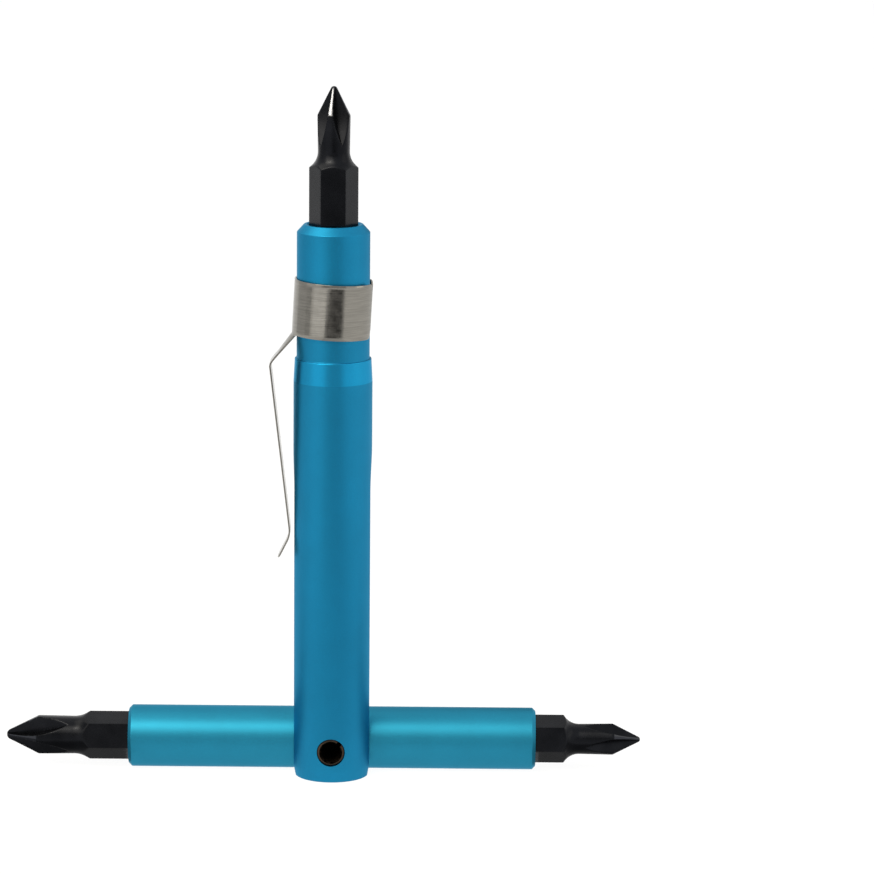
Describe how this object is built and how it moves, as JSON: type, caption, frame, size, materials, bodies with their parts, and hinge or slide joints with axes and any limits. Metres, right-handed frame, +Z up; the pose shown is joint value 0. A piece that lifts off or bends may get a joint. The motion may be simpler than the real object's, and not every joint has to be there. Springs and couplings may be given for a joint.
{
  "type": "t-handle screwdriver",
  "caption": "Folding T-handle screwdriver: round driver with a pocket clip, a crossbar pinned across its lower end, and double-ended hex bits with detent balls in its sockets.",
  "frame": {"origin": "middle of the flat D-shaped lower end of the driver body, on which the tool stands", "axes": "+Z up the driver towards the top bit, +X along the crossbar, -Y to the front with the pin's open end"},
  "size_m": [0.0968, 0.0142, 0.1047],
  "materials": {
    "anodised_aluminium": "satin blasted, anodised blue",
    "black_oxide_steel": "black oxide",
    "black_pin_steel": "black oxide, oiled",
    "nickel_spring_steel": "nickel plated, brushed",
    "ball_steel": "polished",
    "spring_wire": "drawn wire"
  },
  "bodies": {
    "driver": {"driver_body": "anodised_aluminium", "pivot_pin": "black_pin_steel"},
    "clip": {"pocket_clip": "nickel_spring_steel"},
    "handle_bar": {"crossbar": "anodised_aluminium"},
    "top_bit": {"top_bit": "black_oxide_steel", "top_detent_spring": "spring_wire"},
    "top_ball": {"top_detent_ball": "ball_steel"},
    "left_bit": {"left_bit": "black_oxide_steel", "left_detent_spring": "spring_wire"},
    "left_ball": {"left_detent_ball": "ball_steel"},
    "right_bit": {"right_bit": "black_oxide_steel", "right_detent_spring": "spring_wire"},
    "right_ball": {"right_detent_ball": "ball_steel"}
  },
  "joints": [
    {"name": "crossbar_pivot", "type": "hinge", "parent": "driver", "child": "handle_bar", "pos_m": [0, 0.0072, 0.0047], "axis": [0, 1, 0], "range_deg": [-90, 0]},
    {"name": "clip_swivel", "type": "hinge", "parent": "driver", "child": "clip", "pos_m": [0, 0.0037, 0.0718], "axis": [0, 0, 1], "range_deg": [0, 180]},
    {"name": "top_bit_slide", "type": "slide", "parent": "driver", "child": "top_bit", "axis": [0, 0, 1], "range_m": [0, 0.0235]},
    {"name": "top_ball_press", "type": "slide", "parent": "top_bit", "child": "top_ball", "axis": [0, 1, 0], "range_m": [0, 0.00035], "stiffness_N_per_m": 1500, "springref_m": -0.0006, "deforming": ["top_detent_spring"]},
    {"name": "left_bit_slide", "type": "slide", "parent": "handle_bar", "child": "left_bit", "axis": [1, 0, 0], "range_m": [-0.0252, 0.0027]},
    {"name": "left_ball_press", "type": "slide", "parent": "left_bit", "child": "left_ball", "axis": [0, 0.9781, -0.2079], "range_m": [0, 0.00035], "stiffness_N_per_m": 1500, "springref_m": -0.0006, "deforming": ["left_detent_spring"]},
    {"name": "right_bit_slide", "type": "slide", "parent": "handle_bar", "child": "right_bit", "axis": [1, 0, 0], "range_m": [0, 0.0279]},
    {"name": "right_ball_press", "type": "slide", "parent": "right_bit", "child": "right_ball", "axis": [0, 0.9781, -0.2079], "range_m": [0, 0.00035], "stiffness_N_per_m": 1500, "springref_m": -0.0006, "deforming": ["right_detent_spring"]}
  ]
}
